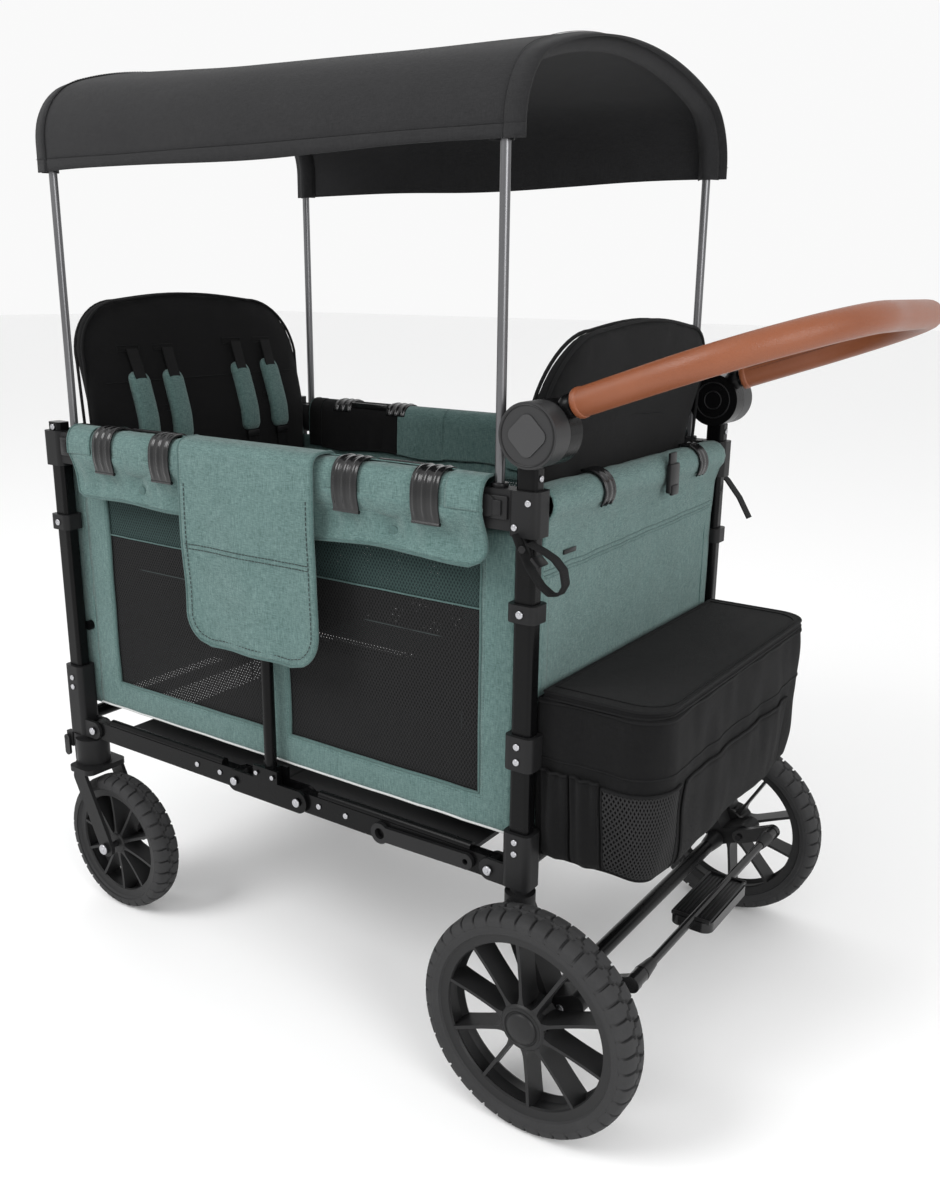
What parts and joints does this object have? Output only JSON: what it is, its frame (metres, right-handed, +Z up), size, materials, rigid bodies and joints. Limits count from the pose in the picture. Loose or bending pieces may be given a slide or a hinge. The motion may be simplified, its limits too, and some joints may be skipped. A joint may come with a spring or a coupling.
{
  "type": "kids pull wagon",
  "caption": "Folding fabric wagon with bench seats that face each other, a canopy on hoops, a push handle, caster front wheels, a rear basket and a brake bar.",
  "frame": {"origin": "on the ground, in the middle of the wagon's length and width", "axes": "+X to the rear (push-handle end), -Y to the side with the flap, +Z up"},
  "size_m": [1.2466, 0.706, 1.3452],
  "materials": {
    "black_tube": "satin black powder coat",
    "grey_casting": "moulded dark grey",
    "black_plastic": "moulded black",
    "button_grey": "fine grain grey",
    "green_fabric": "heather woven polyester",
    "black_fabric": "woven polyester",
    "canopy_fabric": "woven polyester",
    "webbing": "ribbed webbing",
    "leather": "stitched, light gloss",
    "tyre_rubber": "foam rubber",
    "rim_plastic": "moulded black",
    "floor_board": "textured sheet"
  },
  "bodies": {
    "rear_frame": {"rear_posts": "black_tube", "rear_castings": "grey_casting", "rear_brackets": "grey_casting", "rear_collars": "grey_casting", "rear_cross_tubes": "black_tube", "rear_panel": "green_fabric", "rear_panel_clips": "black_plastic", "rear_seat_back": "black_fabric", "rear_harness": "green_fabric", "rear_hoop": "black_tube", "wheel_carriers": "grey_casting", "hub_bases": "grey_casting", "post_straps": "webbing", "basket_body": "black_fabric", "side_panel_near": "green_fabric", "side_panel_far": "green_fabric", "canopy": "canopy_fabric"},
    "push_handle": {"handle_bar": "black_tube", "handle_grip": "leather"},
    "hub_button_near": {"hub_button_near": "button_grey"},
    "hub_button_far": {"hub_button_far": "button_grey"},
    "basket_lid": {"basket_lid": "black_fabric"},
    "brake": {"brake_bar": "black_tube"},
    "rear_wheel_near": {"rear_tyre_near": "tyre_rubber", "rear_rim_near": "rim_plastic"},
    "rear_wheel_far": {"rear_tyre_far": "tyre_rubber", "rear_rim_far": "rim_plastic"},
    "lower_rear_rails": {"lower_rear_rails": "black_tube", "rear_floor": "floor_board"},
    "fold_lock_near": {"fold_lock_near": "black_plastic"},
    "fold_lock_far": {"fold_lock_far": "black_plastic"},
    "centre_frame": {"centre_frame": "black_tube", "side_flap": "green_fabric"},
    "lower_front_rails": {"lower_front_rails": "black_tube", "front_floor": "floor_board"},
    "front_frame": {"front_posts": "black_tube", "front_castings": "grey_casting", "front_brackets": "grey_casting", "front_collars": "grey_casting", "front_cross_tubes": "black_tube", "front_panel": "green_fabric", "front_seat_back": "black_fabric", "front_harness": "green_fabric", "front_hoop": "black_tube"},
    "upper_rear_rails": {"upper_rear_rails": "black_tube", "rear_rail_sleeves": "green_fabric", "rear_rail_clips": "black_plastic"},
    "upper_front_rails": {"upper_front_rails": "black_tube", "front_rail_sleeves": "green_fabric", "front_rail_clips": "black_plastic"},
    "rear_seat": {"rear_seat": "black_fabric"},
    "front_seat": {"front_seat": "black_fabric"},
    "swivel_lock_near": {"swivel_lock_near": "black_plastic"},
    "swivel_lock_far": {"swivel_lock_far": "black_plastic"},
    "caster_near": {"caster_fork_near": "grey_casting"},
    "caster_far": {"caster_fork_far": "grey_casting"},
    "front_wheel_near": {"front_tyre_near": "tyre_rubber", "front_rim_near": "rim_plastic"},
    "front_wheel_far": {"front_tyre_far": "tyre_rubber", "front_rim_far": "rim_plastic"}
  },
  "joints": [
    {"name": "fold", "type": "hinge", "parent": "rear_frame", "child": "lower_rear_rails", "pos_m": [0.238, 0, 0.308], "axis": [0, 1, 0], "range_deg": [0, 68], "deforming": ["side_panel_near", "side_panel_far", "canopy"]},
    {"name": "centre_swing", "type": "hinge", "parent": "lower_rear_rails", "child": "centre_frame", "pos_m": [-0.092, 0, 0.308], "axis": [0, 1, 0], "range_deg": [-68, 0]},
    {"name": "front_rail_swing", "type": "hinge", "parent": "centre_frame", "child": "lower_front_rails", "pos_m": [-0.218, 0, 0.308], "axis": [0, 1, 0], "range_deg": [-68, 0]},
    {"name": "front_frame_swing", "type": "hinge", "parent": "lower_front_rails", "child": "front_frame", "pos_m": [-0.548, 0, 0.308], "axis": [0, 1, 0], "range_deg": [0, 68]},
    {"name": "upper_rear_swing", "type": "hinge", "parent": "rear_frame", "child": "upper_rear_rails", "pos_m": [0.204, 0, 0.78], "axis": [0, 1, 0], "range_deg": [0, 68]},
    {"name": "upper_front_swing", "type": "hinge", "parent": "front_frame", "child": "upper_front_rails", "pos_m": [-0.514, 0, 0.78], "axis": [0, 1, 0], "range_deg": [-68, 0]},
    {"name": "rear_seat_tip", "type": "hinge", "parent": "rear_frame", "child": "rear_seat", "pos_m": [0.208, 0, 0.48], "axis": [0, 1, 0], "range_deg": [0, 68]},
    {"name": "front_seat_tip", "type": "hinge", "parent": "front_frame", "child": "front_seat", "pos_m": [-0.518, 0, 0.48], "axis": [0, 1, 0], "range_deg": [-68, 0]},
    {"name": "handle_tilt", "type": "hinge", "parent": "rear_frame", "child": "push_handle", "pos_m": [0.284, 0, 0.865], "axis": [0, 1, 0], "range_deg": [-50, 62]},
    {"name": "hub_button_near_press", "type": "slide", "parent": "rear_frame", "child": "hub_button_near", "axis": [0, 1, 0], "range_m": [0, 0.003], "stiffness_N_per_m": 600, "springref_m": -0.003},
    {"name": "hub_button_far_press", "type": "slide", "parent": "rear_frame", "child": "hub_button_far", "axis": [0, -1, 0], "range_m": [0, 0.003], "stiffness_N_per_m": 600, "springref_m": -0.003},
    {"name": "basket_lid_lift", "type": "hinge", "parent": "rear_frame", "child": "basket_lid", "pos_m": [0.295, 0, 0.5453], "axis": [0, 1, 0], "range_deg": [-90, 0]},
    {"name": "brake_press", "type": "hinge", "parent": "rear_frame", "child": "brake", "pos_m": [0.376, 0, 0.172], "axis": [0, 1, 0], "range_deg": [0, 18]},
    {"name": "rear_wheel_near_spin", "type": "hinge", "parent": "rear_frame", "child": "rear_wheel_near", "pos_m": [0.331, -0.328, 0.15], "axis": [0, 1, 0], "continuous": true},
    {"name": "rear_wheel_far_spin", "type": "hinge", "parent": "rear_frame", "child": "rear_wheel_far", "pos_m": [0.331, 0.328, 0.15], "axis": [0, 1, 0], "continuous": true},
    {"name": "fold_lock_near_turn", "type": "hinge", "parent": "lower_rear_rails", "child": "fold_lock_near", "pos_m": [0.202, -0.284, 0.308], "axis": [0, 1, 0], "range_deg": [-18, 0]},
    {"name": "fold_lock_far_turn", "type": "hinge", "parent": "lower_rear_rails", "child": "fold_lock_far", "pos_m": [0.202, 0.284, 0.308], "axis": [0, 1, 0], "range_deg": [-18, 0]},
    {"name": "caster_near_swivel", "type": "hinge", "parent": "front_frame", "child": "caster_near", "pos_m": [-0.572, -0.272, 0.24], "axis": [0, 0, 1], "continuous": true},
    {"name": "front_wheel_near_spin", "type": "hinge", "parent": "caster_near", "child": "front_wheel_near", "pos_m": [-0.507, -0.272, 0.116], "axis": [0, 1, 0], "continuous": true},
    {"name": "swivel_lock_near_turn", "type": "hinge", "parent": "front_frame", "child": "swivel_lock_near", "pos_m": [-0.613, -0.291, 0.282], "axis": [0, 1, 0], "range_deg": [-14, 0]},
    {"name": "caster_far_swivel", "type": "hinge", "parent": "front_frame", "child": "caster_far", "pos_m": [-0.572, 0.272, 0.24], "axis": [0, 0, 1], "continuous": true},
    {"name": "front_wheel_far_spin", "type": "hinge", "parent": "caster_far", "child": "front_wheel_far", "pos_m": [-0.507, 0.272, 0.116], "axis": [0, 1, 0], "continuous": true},
    {"name": "swivel_lock_far_turn", "type": "hinge", "parent": "front_frame", "child": "swivel_lock_far", "pos_m": [-0.613, 0.291, 0.282], "axis": [0, 1, 0], "range_deg": [-14, 0]}
  ],
  "couplings": [
    {"joint": "centre_swing", "follows": "fold", "ratio": -1},
    {"joint": "front_rail_swing", "follows": "fold", "ratio": -1},
    {"joint": "front_frame_swing", "follows": "fold", "ratio": 1},
    {"joint": "upper_rear_swing", "follows": "fold", "ratio": 1},
    {"joint": "upper_front_swing", "follows": "fold", "ratio": -1},
    {"joint": "rear_seat_tip", "follows": "fold", "ratio": 1},
    {"joint": "front_seat_tip", "follows": "fold", "ratio": -1}
  ]
}
